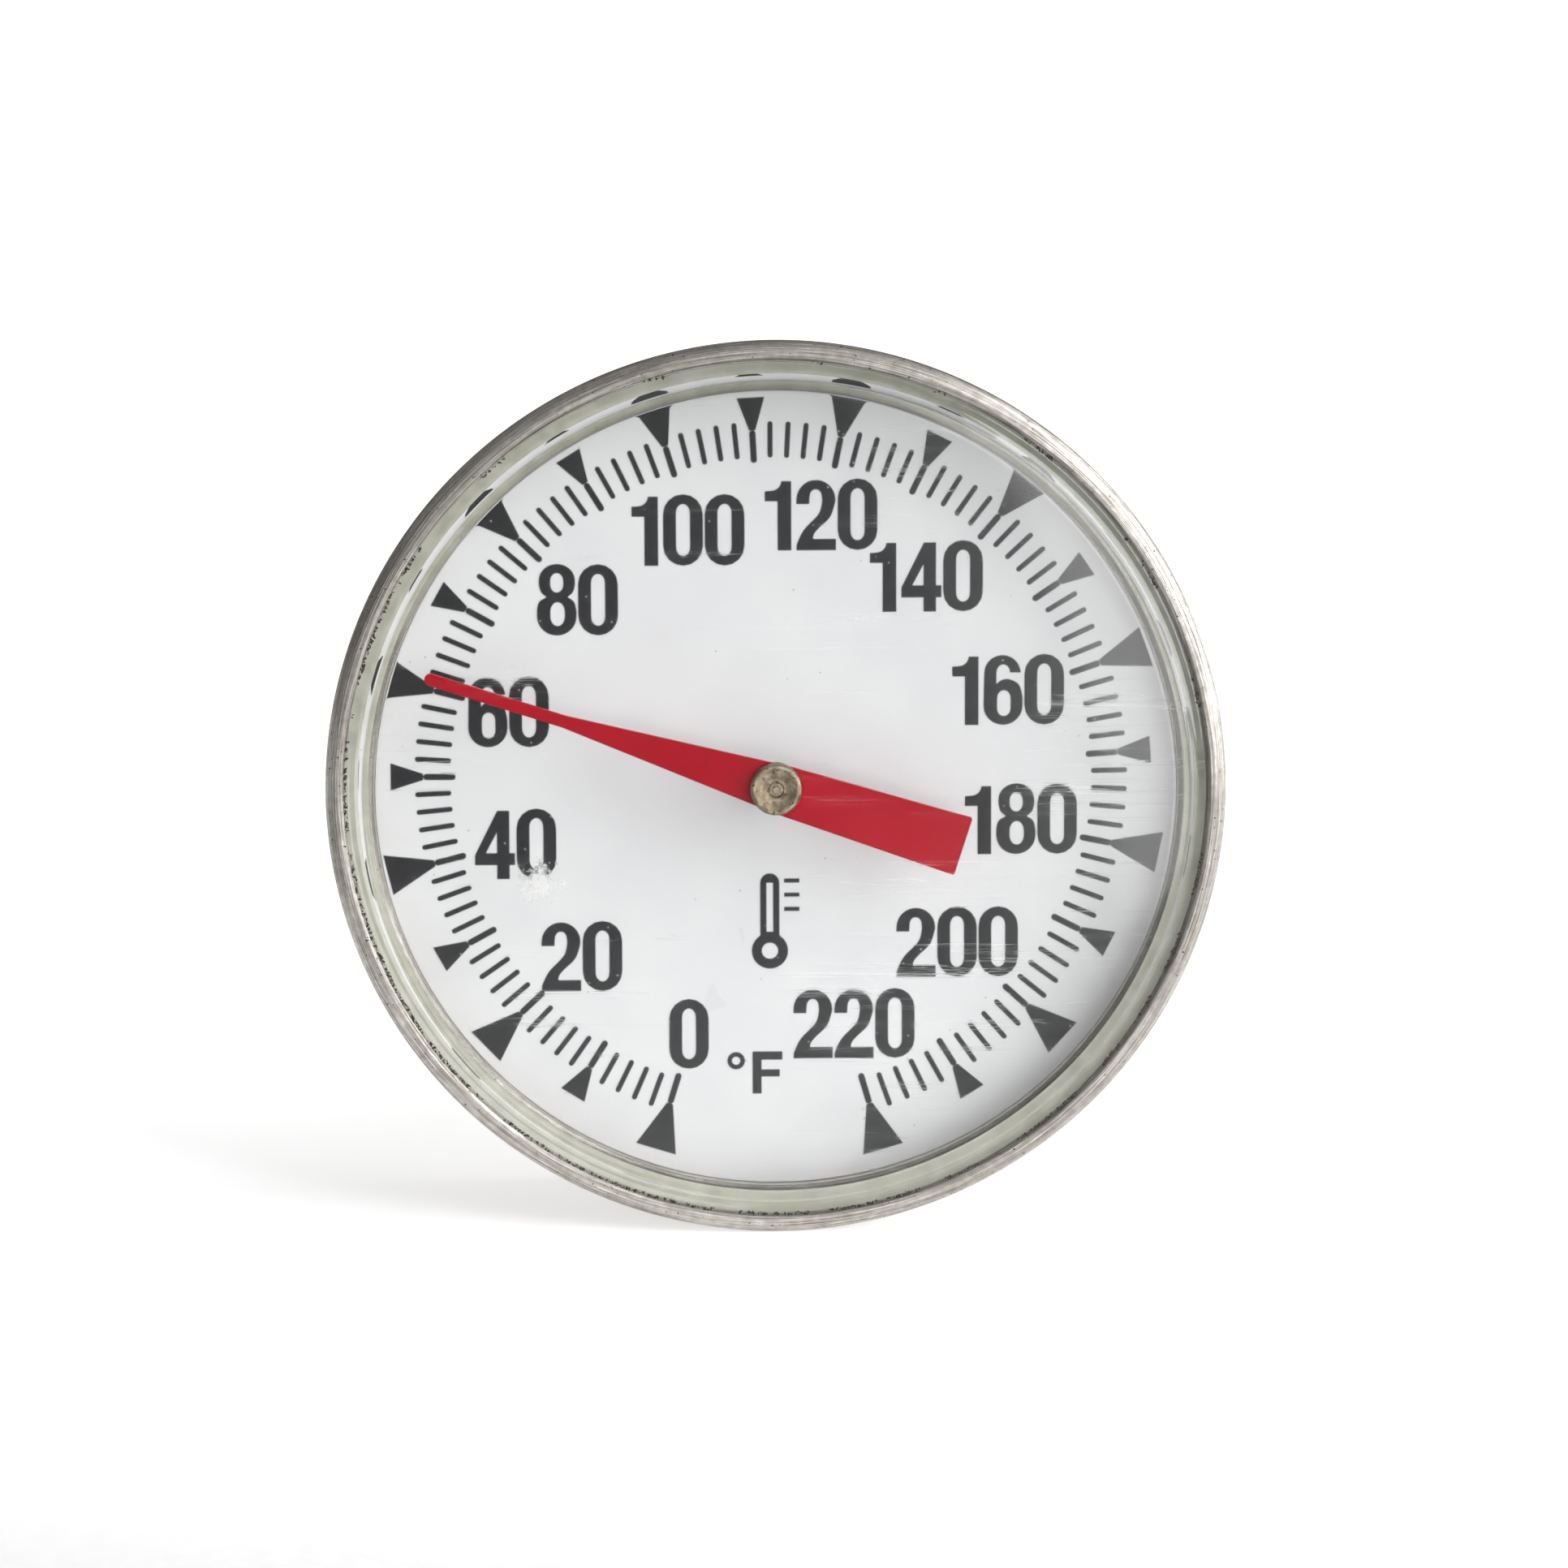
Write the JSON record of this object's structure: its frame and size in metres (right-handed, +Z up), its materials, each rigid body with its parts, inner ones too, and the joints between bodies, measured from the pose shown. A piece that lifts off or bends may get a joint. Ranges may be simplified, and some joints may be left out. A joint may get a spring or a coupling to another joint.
{
  "type": "oven thermometer",
  "caption": "Bimetal stem thermometer: a round steel head with a clear crystal, printed dial and red pointer, a hexagon nut behind it and a long closed probe stem.",
  "frame": {"origin": "on the surface it stands on, under the middle of its bounding box: it stands on its rim and on the tip of its stem, leaning back", "axes": "+Z up, -Y the way the dial faces (leant back by 8.9 degrees), +Y towards the stem's tip, +X to the right of a reader of the dial"},
  "size_m": [0.0468, 0.143, 0.0463],
  "materials": {
    "spun_steel": "spun and worn, fine concentric lines",
    "drawn_steel": "drawn, satin",
    "turned_steel": "turned, bright",
    "spring_steel": "tempered, satin",
    "aged_brass": "tarnished",
    "bimetal_strip": "rolled, matte",
    "clear_crystal": "moulded, polished, lightly scratched",
    "white_enamel": "satin white with printed charcoal scale",
    "charcoal_ink": "pad-printed, matte",
    "red_enamel": "satin red",
    "pale_rubber": "matte, yellowed",
    "black_rubber": "matte"
  },
  "bodies": {
    "stem": {"stem_tube": "drawn_steel", "stem_tip": "drawn_steel", "calibration_nut": "turned_steel", "retaining_clip": "spring_steel", "wave_washer": "spring_steel", "seal_washer": "black_rubber", "upper_bushing": "aged_brass", "middle_bushing": "aged_brass", "lower_bushing": "aged_brass", "coil_anchor": "turned_steel", "bimetal_coil": "bimetal_strip"},
    "head": {"case_cup": "drawn_steel", "bezel_ring": "spun_steel", "lens": "clear_crystal", "lens_gasket": "pale_rubber", "dial_plate": "white_enamel", "dial_spacer": "drawn_steel"},
    "pointer": {"pointer": "red_enamel", "pointer_hub": "aged_brass", "pointer_washer": "aged_brass", "spindle": "turned_steel", "coil_cap": "turned_steel"}
  },
  "joints": [
    {"name": "head_turn", "type": "hinge", "parent": "stem", "child": "head", "pos_m": [0, -0.0627, 0.02253], "axis": [0, 0.9881, -0.154], "continuous": true},
    {"name": "pointer_turn", "type": "hinge", "parent": "stem", "child": "pointer", "pos_m": [0, -0.0627, 0.02253], "axis": [0, 0.9881, -0.154], "range_deg": [-90, 236.4], "stiffness_Nm_per_rad": 0.0002, "deforming": ["bimetal_coil"]}
  ]
}
